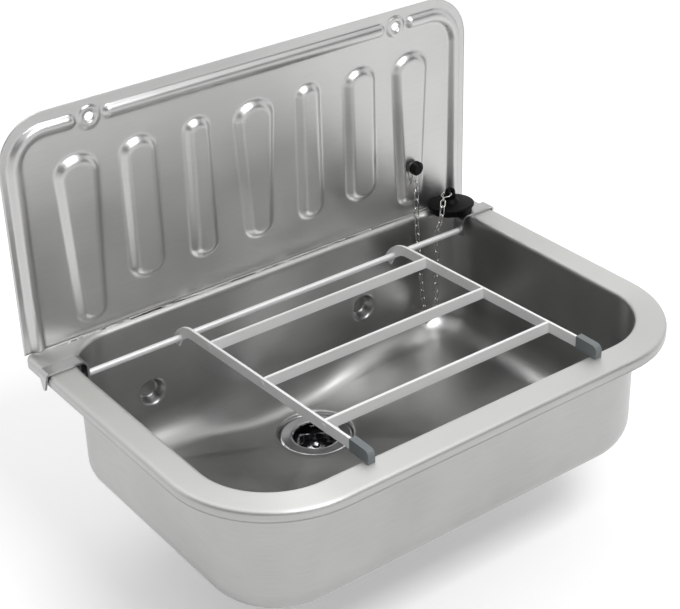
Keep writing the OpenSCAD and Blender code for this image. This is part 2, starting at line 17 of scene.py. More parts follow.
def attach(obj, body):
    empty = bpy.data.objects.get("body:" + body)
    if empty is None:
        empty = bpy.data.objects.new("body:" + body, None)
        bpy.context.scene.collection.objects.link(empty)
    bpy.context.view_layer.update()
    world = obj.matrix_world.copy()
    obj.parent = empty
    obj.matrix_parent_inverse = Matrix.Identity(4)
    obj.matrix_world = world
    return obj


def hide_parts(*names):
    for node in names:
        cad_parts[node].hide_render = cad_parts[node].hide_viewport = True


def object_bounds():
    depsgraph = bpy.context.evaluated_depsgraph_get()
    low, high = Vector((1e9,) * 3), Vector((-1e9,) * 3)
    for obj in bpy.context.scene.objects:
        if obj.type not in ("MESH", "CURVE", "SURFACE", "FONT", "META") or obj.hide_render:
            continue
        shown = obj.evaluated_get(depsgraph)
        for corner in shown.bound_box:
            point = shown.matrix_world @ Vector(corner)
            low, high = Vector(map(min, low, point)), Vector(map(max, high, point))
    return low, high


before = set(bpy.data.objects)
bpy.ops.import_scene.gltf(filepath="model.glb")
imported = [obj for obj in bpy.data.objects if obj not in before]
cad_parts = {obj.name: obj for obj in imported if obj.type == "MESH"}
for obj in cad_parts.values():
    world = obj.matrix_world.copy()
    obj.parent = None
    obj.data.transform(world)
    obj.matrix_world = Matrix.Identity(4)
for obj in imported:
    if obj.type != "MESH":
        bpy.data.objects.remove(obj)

cad_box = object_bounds()
MM = 0.001

# %% [markdown]
# ## Camera
#
# The camera stands where the photographer stood: to the left of the sink and above it, looking down by
# about thirty degrees. It could be aimed at a point, but its three angles say more plainly how it stands.
# The lens is a short telephoto, which keeps the rim's far side nearly parallel to its near side.

# %% Camera
CAMERA_AT = (-0.7324, -1.1270, 0.7293)
FOCAL_LENGTH, SENSOR_WIDTH, NEAREST = 85.47, 36.0, 0.05
turn, drop, tilt = math.radians(-36.17), math.radians(29.93), math.radians(-1.59)
ahead = Vector((-math.sin(turn) * math.cos(drop), math.cos(turn) * math.cos(drop), -math.sin(drop)))
level = ahead.cross(Vector((0, 0, 1))).normalized()
above = level.cross(ahead)
right = math.cos(tilt) * level + math.sin(tilt) * above
up = math.cos(tilt) * above - math.sin(tilt) * level
lens = bpy.data.cameras.new("camera")
lens.lens = FOCAL_LENGTH
lens.sensor_width = SENSOR_WIDTH
lens.sensor_fit = "HORIZONTAL"
lens.clip_start = NEAREST
camera = bpy.data.objects.new("camera", lens)
bpy.context.scene.collection.objects.link(camera)
camera.matrix_world = Matrix.Translation(CAMERA_AT) @ Matrix(
    [(right[i], up[i], -ahead[i], 0) for i in range(3)] + [(0, 0, 0, 1)]
)
bpy.context.scene.camera = camera
print("camera looks along", [round(a, 3) for a in ahead])

# %% [markdown]
# ## Helpers for meshes
#
# Every piece made here is a mesh from numbers in millimetres. One helper turns points and faces into an
# object, shades it smooth, and lets it ride on a body of the frame.

# %% From points to a piece
def piece(name, points, faces, body="sink", uv=None):
    """A smooth mesh from points in millimetres that rides on a body; uv is its flat map in millimetres."""
    mesh = bpy.data.meshes.new(name)
    mesh.from_pydata([[c * MM for c in p] for p in points], [], faces)
    mesh.polygons.foreach_set("use_smooth", [True] * len(mesh.polygons))
    if uv is not None:
        layer = mesh.uv_layers.new(name="sheet")
        corners = np.empty(len(mesh.loops), dtype=int)
        mesh.loops.foreach_get("vertex_index", corners)
        layer.data.foreach_set("uv", (np.asarray(uv)[corners] * MM).ravel())
    mesh.validate()
    mesh.update()
    obj = bpy.data.objects.new(name, mesh)
    bpy.context.scene.collection.objects.link(obj)
    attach(obj, body)
    return obj


def quads(rows, columns, closed=False):
    """Faces of a grid of points, row after row; closed joins the last column to the first."""
    faces = []
    for r in range(rows - 1):
        for c in range(columns if closed else columns - 1):
            d = (c + 1) % columns
            faces.append((r * columns + c, r * columns + d, (r + 1) * columns + d, (r + 1) * columns + c))
    return faces


print("faces between 3 rows of 4 points:", len(quads(3, 4)))


# %% [markdown]
# ## Chain
#
# An oval-link sink chain hangs from a drop-shaped ring on the splashback down into the bowl, turns there,
# and climbs over the rim to the plug. Each link is a bent wire turned a quarter from the last one, so it is
# made as a wire swept round a long oval and set along the route, link by link. The route is the frame's own.

# %% Route of the chain
chain_route = [
    (180, -10.8, 38.1), (178.5, -14.5, 29), (176, -17, 3), (177, -19, -28), (180, -21.5, -80),
    (182.2, -23.5, -106), (184.5, -24.5, -115), (190, -26.5, -115), (191.5, -27.5, -106),
    (192, -29, -90), (191, -31, -36), (189, -32.2, -12), (189.6, -35.6, -4), (189.8, -38.8, 3),
    (190.4, -39.4, 13), (194.2, -36, 17), (200, -29.6, 19), (205.5, -24.3, 18.9),
]
LINK_LENGTH, LINK_WIDTH, LINK_PLAY = 12.0, 6.0, 0.3
WIRE, WIRE_SIDES, LINK_END_STEPS, CLOSE_TO = 1.2, 10, 9, 0.001
corners = [Vector(p) for p in chain_route]
spans = [(b - a).length for a, b in zip(corners, corners[1:])]
chain_length = sum(spans)


def along(distance):
    """The point of the route that lies this far along it."""
    for start, end, span in zip(corners, corners[1:], spans):
        if distance <= span + CLOSE_TO:
            return start.lerp(end, distance / span)
        distance -= span
    return corners[-1]


link_count = math.ceil(chain_length / (LINK_LENGTH - 2 * WIRE - LINK_PLAY))
print("chain:", link_count, "links,", round(chain_length), "mm")


# %% One link, and all of them
def link_line():
    """The middle line of a link's wire: two half circles and the straights between them."""
    bend = (LINK_WIDTH - WIRE) / 2
    half = LINK_LENGTH / 2 - WIRE / 2 - bend
    line = []
    for end in (1, -1):
        for i in range(LINK_END_STEPS):
            a = math.pi * i / (LINK_END_STEPS - 1)
            line.append(Vector((end * bend * math.cos(a), 0, end * (half + bend * math.sin(a)))))
    return line


def wire_ring(line, radius):
    """A wire swept round a closed flat line that lies in the XZ plane."""
    points = []
    count = len(line)
    for i in range(count):
        way = (line[(i + 1) % count] - line[i - 1]).normalized()
        out = way.cross(Vector((0, 1, 0)))
        for k in range(WIRE_SIDES):
            a = 2 * math.pi * k / WIRE_SIDES
            points.append(line[i] + radius * (math.cos(a) * out + math.sin(a) * Vector((0, 1, 0))))
    return points


ring_line = link_line()
count = len(ring_line)
step = chain_length / link_count
chain_points, chain_faces = [], []
for i in range(link_count):
    a, b = along(i * step), along((i + 1) * step)
    way = (b - a).normalized()
    lie = Matrix.Rotation(math.atan2(way.x, way.z), 3, "Y") @ Matrix.Rotation(-math.asin(way.y), 3, "X")
    spin = Matrix.Rotation(math.radians(90 if i % 2 == 0 else 0), 3, "Z")
    base = len(chain_points)
    for p in wire_ring(ring_line, WIRE / 2):
        chain_points.append((a + b) / 2 + lie @ spin @ p)
    for q in range(count):
        here = base + q * WIRE_SIDES
        beyond = base + (q + 1) % count * WIRE_SIDES
        for k in range(WIRE_SIDES):
            m = (k + 1) % WIRE_SIDES
            chain_faces.append((here + k, here + m, beyond + m, beyond + k))
chain = piece("chain_links", chain_points, chain_faces)
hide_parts("chain")
print("chain:", len(chain_points), "points")

# %% [markdown]
# ## Basin
#
# The basin is one deep-drawn sheet: a lip, a flat rim, a small roll into the bowl, walls, a wide bend and a
# floor that falls to the waste. A subdivided box would round it anywhere but where the press does. So its
# face is a stack of rings, each a rounded rectangle, with the radii of the real tool, and Solidify gives the
# sheet its thickness. All sizes are in millimetres from the wall, the rim and the middle.

# %% Sizes of the basin
# A plan is half the width, the rear and front edges, and the radii of the rear and front corners.
SHEET = 1.2
RIM_PLAN = (250.0, 0.0, -339.0, 9.0, 98.0)
BOWL_PLAN = (223.5, -11.2, -309.5, 48.0, 68.0)
LIP_H, LIP_BEND = 9.6, 4.0
ROLL_R, ROLL_OUT = 4.2, 3.0
BOWL_D, FOOT_R = 131.0, 31.0
FLOOR_Z, FALL = -129.8, 16.0
WASTE = (0.0, -80.2)
FUNNEL_REACH, REAR_RUN, VALLEY_SOFT = 60.0, 90.0, 0.2
RECESS_R, RECESS_Z, HOLE_R, BORE_R = 36.0, -151.8, 24.5, 21.5
CUP_PLACES = (-134.0, 112.0)
CUP_Z, CUP_R, CUP_TAPER = -80.0, 12.8, 3.0
print("basin:", 2 * RIM_PLAN[0], "by", -RIM_PLAN[2], "mm, bowl", BOWL_D, "mm deep")


# %% A rounded rectangle as one ring of points
def shares(points, low, high):
    """Turns places on the rear edge into shares of its length, kept the same for every ring."""
    return [(p - low) / (high - low) for p in points]


# The rear wall's grid is finer round each cup, and its steps are all multiples of REAR_STEP elsewhere.
CUP_STEPS = [2.5, 5, 7.5, 9.2, 10.2, 11.2, 12.2, 13.2, 14.4, 17]
CUP_CLEAR, REAR_STEP = 21.0, 12.0
TURN_STEPS, SIDE_STEPS, FRONT_STEPS = 18, 30, 40
rear_low, rear_high = -(BOWL_PLAN[0] - BOWL_PLAN[3]), BOWL_PLAN[0] - BOWL_PLAN[3]
rear_places = {rear_low, rear_high, 0.0}
for cup_x in CUP_PLACES:
    for s in [0] + CUP_STEPS:
        rear_places |= {cup_x + s, cup_x - s}
for k in range(-13, 14):
    if all(abs(k * REAR_STEP - cup_x) > CUP_CLEAR for cup_x in CUP_PLACES):
        rear_places.add(k * REAR_STEP)
rear_shares = shares(sorted(rear_places), rear_low, rear_high)
SIDE_SHARES = [i / SIDE_STEPS for i in range(SIDE_STEPS + 1)]
FRONT_SHARES = [i / FRONT_STEPS for i in range(FRONT_STEPS + 1)]
TURN = [math.radians(90 * i / TURN_STEPS) for i in range(1, TURN_STEPS)]


def ring(plan, inset=0.0):
    """Points round a rounded rectangle, from the rear left corner clockwise as seen from above."""
    x, rear, front, rear_r, front_r = plan
    x, rear, front = x - inset, rear - inset, front + inset
    rear_r, front_r = rear_r - inset, front_r - inset
    line = [(-(x - rear_r) + s * 2 * (x - rear_r), rear) for s in rear_shares]
    line += [(x - rear_r + rear_r * math.sin(a), rear - rear_r + rear_r * math.cos(a)) for a in TURN]
    side = rear - rear_r - front - front_r
    line += [(x, rear - rear_r - s * side) for s in SIDE_SHARES]
    line += [(x - front_r + front_r * math.cos(a), front + front_r - front_r * math.sin(a)) for a in TURN]
    line += [(x - front_r - s * 2 * (x - front_r), front) for s in FRONT_SHARES]
    line += [(-(x - front_r) - front_r * math.sin(a), front + front_r - front_r * math.cos(a)) for a in TURN]
    line += [(-x, front + front_r + s * side) for s in SIDE_SHARES]
    line += [(-(x - rear_r) - rear_r * math.cos(a), rear - rear_r + rear_r * math.sin(a)) for a in TURN]
    return np.array(line)


print("ring:", len(ring(BOWL_PLAN)), "points")


# %% Lip, rim, roll, wall and bend as rings
def arc(steps, first, last):
    """Angles in radians in even steps, from and to angles in degrees."""
    return [math.radians(first + (last - first) * i / steps) for i in range(steps + 1)]


LIP_LEVELS, RIM_INSETS, ROLL_OUTSETS = (-LIP_H, -7.5, -5.5), (5.5, 7.0), (6.0, 4.2)
ROLL_STEPS, BEND_STEPS = 6, 16
rings = []
for z in LIP_LEVELS:
    rings.append((RIM_PLAN, 0.0, z))
for a in arc(ROLL_STEPS, 0, 90):
    rings.append((RIM_PLAN, LIP_BEND * (1 - math.cos(a)), -LIP_BEND * (1 - math.sin(a))))
for s in RIM_INSETS:
    rings.append((RIM_PLAN, s, 0.0))
for out in ROLL_OUTSETS:
    rings.append((BOWL_PLAN, -out, 0.0))
for a in arc(ROLL_STEPS, 90, 180):
    rings.append((BOWL_PLAN, -(ROLL_OUT + ROLL_R * math.cos(a)), -ROLL_R * (1 - math.sin(a))))
wall_levels = {-8.0, -14.0, -22.0, -30.0, -38.0, -46.0, -54.0} | {CUP_Z}
for s in CUP_STEPS:
    wall_levels |= {CUP_Z + s, CUP_Z - s}
for z in sorted(wall_levels, reverse=True):
    rings.append((BOWL_PLAN, SHEET, z))
bend_angles = arc(BEND_STEPS, 0, 90)
show_r = FOOT_R - SHEET
for a in bend_angles:
    rings.append((BOWL_PLAN, FOOT_R - show_r * math.cos(a), -(BOWL_D - FOOT_R) - show_r * math.sin(a)))
print("rings above the floor:", len(rings))


# %% Where the cups and the funnel round the waste push the sheet
CUP_GRID, CUP_ROUND = CUP_STEPS[-1], 13.2
CUP_EDGE_IN, CUP_EDGE, REAR_WALL_Y = 0.6, 1.4, -14.0


def ease(t):
    """From 0 to 1 with a soft start and a soft end."""
    t = np.clip(t, 0, 1)
    return t * t * (3 - 2 * t)


def funnel(x, y):
    """How much of the fall reaches this place: all of it beside the recess, none of it far away."""
    away = np.hypot(x - WASTE[0], y - WASTE[1]) - RECESS_R
    return np.exp(-(np.clip(away, 0, None) / FUNNEL_REACH) ** 2)


def press_cup(points, cup_x):
    """Bends the wall's grid lines into circles round a cup and pushes them back to the wall."""
    dx, dz = points[:, 0] - cup_x, points[:, 2] - CUP_Z
    square = np.maximum(np.abs(dx), np.abs(dz))
    near = (square <= CUP_GRID + 0.01) & (points[:, 1] > REAR_WALL_Y)
    radial = np.hypot(dx, dz)
    scale = np.where(radial > 0, square / np.where(radial > 0, radial, 1), 1)
    rounding = 1 - ease((square - CUP_ROUND) / (CUP_GRID - CUP_ROUND))
    scale = 1 + (scale - 1) * rounding
    deep = 1 - ease((square - (CUP_R - CUP_TAPER - CUP_EDGE_IN)) / (CUP_TAPER + CUP_EDGE))
    points[near, 0] = (cup_x + dx * scale)[near]
    points[near, 2] = (CUP_Z + dz * scale)[near]
    points[near, 1] += (-BOWL_PLAN[1] * deep)[near]


funnel_end = WASTE[1] + RECESS_R + FUNNEL_REACH
print("fall left at the funnel's reach:", round(float(funnel(WASTE[0], funnel_end)), 2))


# %% The basin's upper rings as points
FALL_START, FALL_RUN = 0.2, 1.2
stack = []
for plan, inset, z in rings:
    flat = ring(plan, inset)
    level_points = np.column_stack([flat, np.full(len(flat), z)])
    stack.append(level_points)
foot_count = len(bend_angles)
for i, a in enumerate(bend_angles):
    level_points = stack[len(stack) - foot_count + i]
    share = funnel(level_points[:, 0], level_points[:, 1])
    level_points[:, 2] -= FALL * share * ease(a / (math.pi / 2)) * ease((a - FALL_START) / FALL_RUN)
print("upper rings:", len(stack), "of", len(stack[0]), "points")

# %% [markdown]
# The floor's rings go over from the rounded rectangle to the round recess. Each point of the outer ring is
# joined to the point of the recess that lies towards it. The floor is pressed as four planes that fall to
# the waste, so water from every corner finds it. The planes meet in soft valleys, and a wide funnel round
# the waste takes them in. An even cone would be simpler, but its highlights would all point at the waste.

# %% The floor's planes
SLOPE_END, FLOOR_END = RECESS_R + 2, RECESS_R + 2.5
PLANE_LOW, PLANE_HIGH = -0.2, 3


def slopes(x, y):
    """Share of the fall on the floor's planes: one from each side and the front, and a short one behind."""
    flat_x, rear_y, front_y = BOWL_PLAN[0] - FOOT_R, BOWL_PLAN[1] - FOOT_R, BOWL_PLAN[2] + FOOT_R
    from_side = (flat_x - np.abs(x)) / (flat_x - SLOPE_END)
    from_front = (y - front_y) / (WASTE[1] - SLOPE_END - front_y)
    from_rear = (rear_y - y) / REAR_RUN
    planes = [np.clip(share, PLANE_LOW, PLANE_HIGH) for share in (from_side, from_front, from_rear)]
    lowest = -VALLEY_SOFT * np.log(sum(np.exp(-share / VALLEY_SOFT) for share in planes))
    return np.clip(lowest, 0, 1)


print("fall half way to the left wall:", round(float(slopes(-BOWL_PLAN[0] / 2, WASTE[1])), 2))


# %% Floor, recess and waste hole
FLOOR_SHARES = [0.02, 0.05, 0.1, 0.17, 0.25, 0.34, 0.44, 0.55, 0.66, 0.76, 0.85, 0.92, 0.97, 1.0]
outer = stack[-1][:, :2]
ways = outer - np.array(WASTE)
ways = ways / np.linalg.norm(ways, axis=1)[:, None]
circle = np.array(WASTE) + FLOOR_END * ways
for t in FLOOR_SHARES:
    flat = outer + t * (circle - outer)
    local = funnel(flat[:, 0], flat[:, 1])
    fall = 1 - (1 - slopes(flat[:, 0], flat[:, 1])) * (1 - local)
    stack.append(np.column_stack([flat, FLOOR_Z - FALL * fall]))
recess_top = FLOOR_Z - FALL
recess_section = [
    (RECESS_R + 1.2, recess_top - 0.3), (RECESS_R + 0.3, recess_top - 1.2), (RECESS_R, recess_top - 2.4),
    (RECESS_R, RECESS_Z + 0.6), (RECESS_R - 0.6, RECESS_Z), (HOLE_R, RECESS_Z),
]
for r, z in recess_section:
    stack.append(np.column_stack([np.array(WASTE) + r * ways, np.full(len(ways), z)]))
basin_points = np.concatenate(stack)
for cup_x in CUP_PLACES:
    press_cup(basin_points, cup_x)
print("floor falls from", FLOOR_Z, "to", recess_top, "mm; recess at", RECESS_Z)

# %% [markdown]
# Brushing marks follow the sheet: they run round the rim and the walls. So the mesh carries a flat map of
# itself in real millimetres: one way is the length round the ring, the other the way down the section.

# %% The basin's map and its piece
MAP_INSET = 10.0
gaps = np.linalg.norm(np.diff(ring(RIM_PLAN, MAP_INSET), axis=0), axis=1)
around = np.concatenate([[0], np.cumsum(gaps)])
downward = [0.0]
for upper_ring, lower_ring in zip(stack, stack[1:]):
    downward.append(downward[-1] + float(np.median(np.linalg.norm(lower_ring - upper_ring, axis=1))))
basin_map = np.array([(u, v) for v in downward for u in around])
basin = piece(
    "pressed_basin", basin_points, [f[::-1] for f in quads(len(stack), len(around), closed=True)],
    uv=basin_map,
)
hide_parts("basin")


def give_sheet(obj):
    """Gives a pressed face the sheet's thickness, away from the side that shows."""
    solid = obj.modifiers.new("sheet", "SOLIDIFY")
    solid.thickness = SHEET * MM
    solid.offset = -1
    solid.use_even_offset = False


give_sheet(basin)
print("basin:", len(basin_points), "points; z", basin_points[:, 2].min(), "to", basin_points[:, 2].max())

# %% [markdown]
# ## Splashback
#
# The splashback is a flat sheet with a half-round bead near its edge, seven raised panels and a ring round
# each wall screw, all pressed forward in one stroke. Such a sheet is a height over a plane, so the mesh is a
# grid, and a few functions of place give its height: distance to the bead's line, distance into a panel.

# %% Sizes of the splashback
# The foot ends where the sheet meets the rim's rear bend. A raised panel is known by its step from the
# middle one, and is given by its width at the top, its width at the foot, and the height of its foot.
PANEL_W, PANEL_H, PANEL_R = 498.0, 216.0, 45.0
SEAM = 0.05
PANEL_FOOT = math.sqrt((LIP_BEND + SEAM) ** 2 - (LIP_BEND - SHEET) ** 2) - LIP_BEND
BEAD_X, BEAD_Z, BEAD_TURN, BEAD_R = 235.5, 200.0, 30.25, 6.0
SCREW_X, SCREW_HOLE, RING_R = 163.0, 8.0, 7.6
SCREW_GAP = 19.0
RIB_PITCH, RIB_H, RIB_TOP = 60.0, 5.5, 170.0
RIBS = {0: (42, 30, 34), 1: (27, 28.5, 34), 2: (36, 36, 34), 3: (42, 30, 10)}
print("splashback:", PANEL_W, "by", PANEL_H, "mm, foot at", round(PANEL_FOOT, 2))


# %% Height of the bead and the screw rings
BEAD_SOFT, FAR_AWAY = 0.5, 1e3


def half_round(distance, radius):
    """A bar of this radius lying on the wall, as far as it stands out of the sheet, with a soft foot."""
    bare = np.sqrt(np.clip(radius**2 - distance**2, 0, None)) - SHEET
    away = np.where(distance > radius, -(distance - radius) - SHEET, bare)
    return 0.5 * (away + np.sqrt(away**2 + BEAD_SOFT))


def bead_distance(x, z):
    """Distance to the middle line of the bead, which is open at the two screws."""
    x = np.abs(x)
    turn_x, turn_z = BEAD_X - BEAD_TURN, BEAD_Z - BEAD_TURN
    first, last = SCREW_X - SCREW_GAP, SCREW_X + SCREW_GAP
    middle = np.hypot(np.clip(x - first, 0, None), z - BEAD_Z)
    side = np.hypot(np.clip(last - x, 0, None) + np.clip(x - turn_x, 0, None), z - BEAD_Z)
    upright = np.hypot(x - BEAD_X, np.clip(z - turn_z, 0, None))
    bend = np.abs(np.hypot(x - turn_x, z - turn_z) - BEAD_TURN)
    bend = np.where((x >= turn_x) & (z >= turn_z), bend, FAR_AWAY)
    return np.minimum(np.minimum(middle, side), np.minimum(upright, bend))


print("the bead stands", half_round(np.array([0.0, BEAD_R]), BEAD_R).round(1), "mm at its middle and foot")


# %% Height of a raised panel
PRESS_SOFT, RIB_END, RIB_END_STEPS = 1.6, 0.82, 40
RIB_FLANK, RIB_REACH, TINY = 1.4 * RIB_H, 26.0, 1e-9


def rib_outline(top_w, foot_w, foot):
    """The raised panel's outline: two half ovals joined by straight, slightly slanting sides."""
    line = []
    for i in range(2 * RIB_END_STEPS):
        top = i < RIB_END_STEPS
        a = math.pi * (i % RIB_END_STEPS) / (RIB_END_STEPS - 1) + (0 if top else math.pi)
        half = (top_w if top else foot_w) / 2
        rise = RIB_END * half
        line.append((half * math.cos(a), (RIB_TOP - rise if top else foot + rise) + rise * math.sin(a)))
    return np.array(line)


def depth_inside(x, z, outline):
    """Distance to an outline, positive inside it."""
    best = np.full(x.shape, FAR_AWAY)
    inside = np.zeros(x.shape, dtype=bool)
    for (ax, az), (bx, bz) in zip(outline, np.roll(outline, -1, axis=0)):
        length = max((bx - ax) ** 2 + (bz - az) ** 2, TINY)
        t = np.clip(((x - ax) * (bx - ax) + (z - az) * (bz - az)) / length, 0, 1)
        best = np.minimum(best, np.hypot(x - ax - t * (bx - ax), z - az - t * (bz - az)))
        if abs(bz - az) > TINY:
            crosses = ((az > z) != (bz > z)) & (x < (bx - ax) * (z - az) / (bz - az) + ax)
            inside ^= crosses
    return np.where(inside, best, -best)


def raised(depth):
    """Height of a raised panel over the sheet, by how deep inside its outline a place lies."""
    rounded = (depth + PRESS_SOFT) ** 2 / (4 * PRESS_SOFT)
    soft = np.where(np.abs(depth) < PRESS_SOFT, rounded, np.clip(depth, 0, None))
    return RIB_H * np.sin(np.clip(soft / RIB_FLANK, 0, 1) * math.pi / 2)


print("a raised panel stands", raised(np.array([0.0, 2.0, 8.0])).round(1), "mm at 0, 2 and 8 mm inside")


# %% The splashback's grid
GRID_STEP, CORNER_ROWS, BEND_TOP, FLAT_FOOT = 1.6, 38, -0.02, 0.1


def fine(low, high, spacing):
    """Even places from low up to high, without high itself, about this far apart."""
    steps = max(1, round((high - low) / spacing))
    return [low + (high - low) * i / steps for i in range(steps)]


row_levels = [PANEL_FOOT, BEND_TOP] + fine(FLAT_FOOT, PANEL_H - PANEL_R, GRID_STEP)
row_levels += [PANEL_H - PANEL_R + PANEL_R * math.sin(a) for a in arc(CORNER_ROWS, 0, 90)]
column_shares = np.array(fine(-1, 1, GRID_STEP / (PANEL_W / 2)) + [1.0])
grid = []
for z in row_levels:
    rise = max(0.0, z - (PANEL_H - PANEL_R))
    half = PANEL_W / 2 - PANEL_R + math.sqrt(max(PANEL_R**2 - rise**2, 0.0))
    grid.append(np.column_stack([column_shares * half, np.full(len(column_shares), z)]))
grid = np.concatenate(grid)
x, z = grid[:, 0], grid[:, 1]
height = half_round(bead_distance(x, z), BEAD_R)
print("splashback grid:", len(row_levels), "by", len(column_shares))

# %% Raise the panels and the screw rings
for i in range(-3, 4):
    near = np.abs(x - i * RIB_PITCH) < RIB_REACH
    outline = rib_outline(*RIBS[abs(i)])
    depth = depth_inside(x[near] - i * RIB_PITCH, z[near], outline)
    height[near] = np.maximum(height[near], raised(depth))
for side in (-1, 1):
    away = np.hypot(x - side * SCREW_X, z - BEAD_Z)
    height = np.maximum(height, half_round(np.abs(away - RING_R), BEAD_R / 2))
height[z < 0] = 0.0
face_points = np.column_stack([x, -SHEET - np.clip(height, 0, None), z])
print("highest place of the splashback:", round(height.max(), 2), "mm over the sheet")

# %% [markdown]
# The screw holes are cut last. The grid's points nearest to each hole's edge are drawn onto it, and the faces
# inside are left out, which keeps the mesh regular everywhere else.

# %% Screw holes and the splashback's piece
HOLE_INSIDE, HOLE_OUTSIDE = SCREW_HOLE / 2 - 0.9, SCREW_HOLE / 2 + 0.75
holes = np.zeros(len(x), dtype=bool)
for side in (-1, 1):
    dx, dz = x - side * SCREW_X, z - BEAD_Z
    away = np.hypot(dx, dz)
    edge = (away > HOLE_INSIDE) & (away < HOLE_OUTSIDE)
    face_points[edge, 0] = side * SCREW_X + (dx * SCREW_HOLE / 2 / away)[edge]
    face_points[edge, 2] = BEAD_Z + (dz * SCREW_HOLE / 2 / away)[edge]
    holes |= away <= HOLE_INSIDE
panel_faces = [f for f in quads(len(row_levels), len(column_shares)) if not holes[list(f)].any()]
splashback = piece(
    "pressed_splashback", face_points, panel_faces, uv=np.column_stack([x, z]),
)
loose = bmesh.new()
loose.from_mesh(splashback.data)
bmesh.ops.delete(loose, geom=[v for v in loose.verts if not v.link_faces], context="VERTS")
loose.to_mesh(splashback.data)
loose.free()
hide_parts("splashback")
give_sheet(splashback)
print("splashback:", len(splashback.data.vertices), "points, front at", round(face_points[:, 1].min(), 2))

# %% [markdown]
# ## Materials
#
# Colours are written as a designer writes them, in sRGB, and turned to linear light in one place. One small
# function adds a shader node with its settings and its links.

# %% Colour and node helpers
def linear(code):
    """'#RRGGBB' as linear red, green, blue and alpha."""
    parts = [int(code[i:i + 2], 16) / 255 for i in (1, 3, 5)]
    return [c / 12.92 if c <= 0.04045 else ((c + 0.055) / 1.055) ** 2.4 for c in parts] + [1.0]


def add(tree, kind, values=None, links=None, **settings):
    """Adds a node: settings are its own, values go to its inputs, links are (node, output) pairs."""
    new = tree.nodes.new(kind)
    for key, value in settings.items():
        setattr(new, key, value)
    for key, value in (values or {}).items():
        new.inputs[key].default_value = value
    for key, (source, output) in (links or {}).items():
        tree.links.new(source.outputs[output], new.inputs[key])
    return new


def blank(name):
    """A new material and its empty node tree."""
    made = bpy.data.materials.new(name)
    made.use_nodes = True
    made.node_tree.nodes.clear()
    return made, made.node_tree


print("#808080 is", round(linear("#808080")[0], 3), "in linear light")


# %% [markdown]
# ### Satin brushed stainless
#
# The sheet is a chromium-nickel steel, brushed with a fine abrasive belt before it was pressed. That gives a
# grey metal, bright where it mirrors the sky of the studio and dark inside the bowl, with reflections
# stretched across the marks. The marks lie a tenth of a millimetre apart; they are drawn 0.7 mm apart and
# 40 mm long, so that they just show. Pressing drew the sheet unevenly, which shows as soft patches that are
# about 70 mm wide: 14 of them to the metre.
#
# The flat rim is brushed once more after pressing, so it spreads its reflections further than the bowl. Its
# paler
# colour is painted light: the flat top is lit more brightly than the bowl. A second material with a seam
# between them would show an edge that isn't there. So the height of a place on the sheet says how much of the
# rim's finish and painted light it gets. The grid's bars are blasted instead, which leaves a surface so rough
# that much of it
# behaves like matt paint: they are only partly metallic here.

# %% How brushed steel is made
MARK_LENGTH, PATCHES = 40.0, 14.0
RIM_BELOW, RIM_FULL = -2.5, -0.5


def brushed(
    name, colour, darker, roughness, spread, stretch, mark=0.7, lift=0.05, mapped=True, rim=None, metal=1.0,
):
    """Brushed steel: two tones, roughness and its spread, stretch, then the marks; rim is a painted-light
    colour and a rougher finish.
    """
    made, tree = blank(name)
    place = add(tree, "ShaderNodeTexCoord")
    across, endwise = 1000 / mark, 1000 / MARK_LENGTH
    marks = add(
        tree, "ShaderNodeMapping",
        {"Scale": (endwise, across, endwise) if mapped else (endwise, endwise, across)},
        {"Vector": (place, "UV" if mapped else "Object")},
    )
    fine_marks = add(
        tree, "ShaderNodeTexNoise", {"Scale": 1.0, "Detail": 4.0, "Roughness": 0.7},
        {"Vector": (marks, "Vector")},
    )
    broad = add(tree, "ShaderNodeTexNoise", {"Scale": PATCHES, "Detail": 2.0}, {"Vector": (place, "Object")})
    drawn = add(tree, "ShaderNodeMath", {1: 1.0, 2: -0.5}, {0: (broad, "Fac")}, operation="MULTIPLY_ADD")
    uneven = add(tree, "ShaderNodeMath", None, {0: (fine_marks, "Fac"), 1: (drawn, 0)}, operation="ADD")
    tone = add(
        tree, "ShaderNodeMix", {6: linear(darker), 7: linear(colour)}, {0: (uneven, 0)}, data_type="RGBA"
    )
    rough = add(
        tree, "ShaderNodeMapRange",
        {"From Min": 0.3, "From Max": 0.7, "To Min": roughness - spread, "To Max": roughness + spread},
        {"Value": (broad, "Fac")},
    )
    paint, dull = (tone, 2), (rough, "Result")
    if rim:
        rim_painted_light_colour, rim_rough = rim
        parts = add(tree, "ShaderNodeSeparateXYZ", None, {"Vector": (place, "Object")})
        # The rim's paler colour is painted light on the flat top; its added roughness is its own finish.
        top = add(
            tree, "ShaderNodeMapRange", {"From Min": RIM_BELOW * MM, "From Max": RIM_FULL * MM},
            {"Value": (parts, "Z")},
        )
        rim_painted_light_tone = add(
            tree, "ShaderNodeMix", {7: linear(rim_painted_light_colour)}, {0: (top, "Result"), 6: (tone, 2)},
            data_type="RGBA",
        )
        more = add(
            tree, "ShaderNodeMath", {1: rim_rough - roughness}, {0: (top, "Result")}, operation="MULTIPLY"
        )
        total = add(tree, "ShaderNodeMath", None, {0: (rough, "Result"), 1: (more, 0)}, operation="ADD")
        paint, dull = (rim_painted_light_tone, 2), (total, 0)
    bump = add(
        tree, "ShaderNodeBump", {"Strength": lift, "Distance": 0.1 * MM}, {"Height": (fine_marks, "Fac")},
    )
    shader = add(
        tree, "ShaderNodeBsdfPrincipled",
        {"Metallic": metal, "Anisotropic": stretch, "Anisotropic Rotation": 0.25},
        {"Base Color": paint, "Roughness": dull, "Normal": (bump, "Normal")},
    )
    if mapped:
        grain = add(tree, "ShaderNodeTangent", direction_type="UV_MAP", uv_map="sheet")
        tree.links.new(grain.outputs["Tangent"], shader.inputs["Tangent"])
    add(tree, "ShaderNodeOutputMaterial", None, {"Surface": (shader, "BSDF")})
    return made
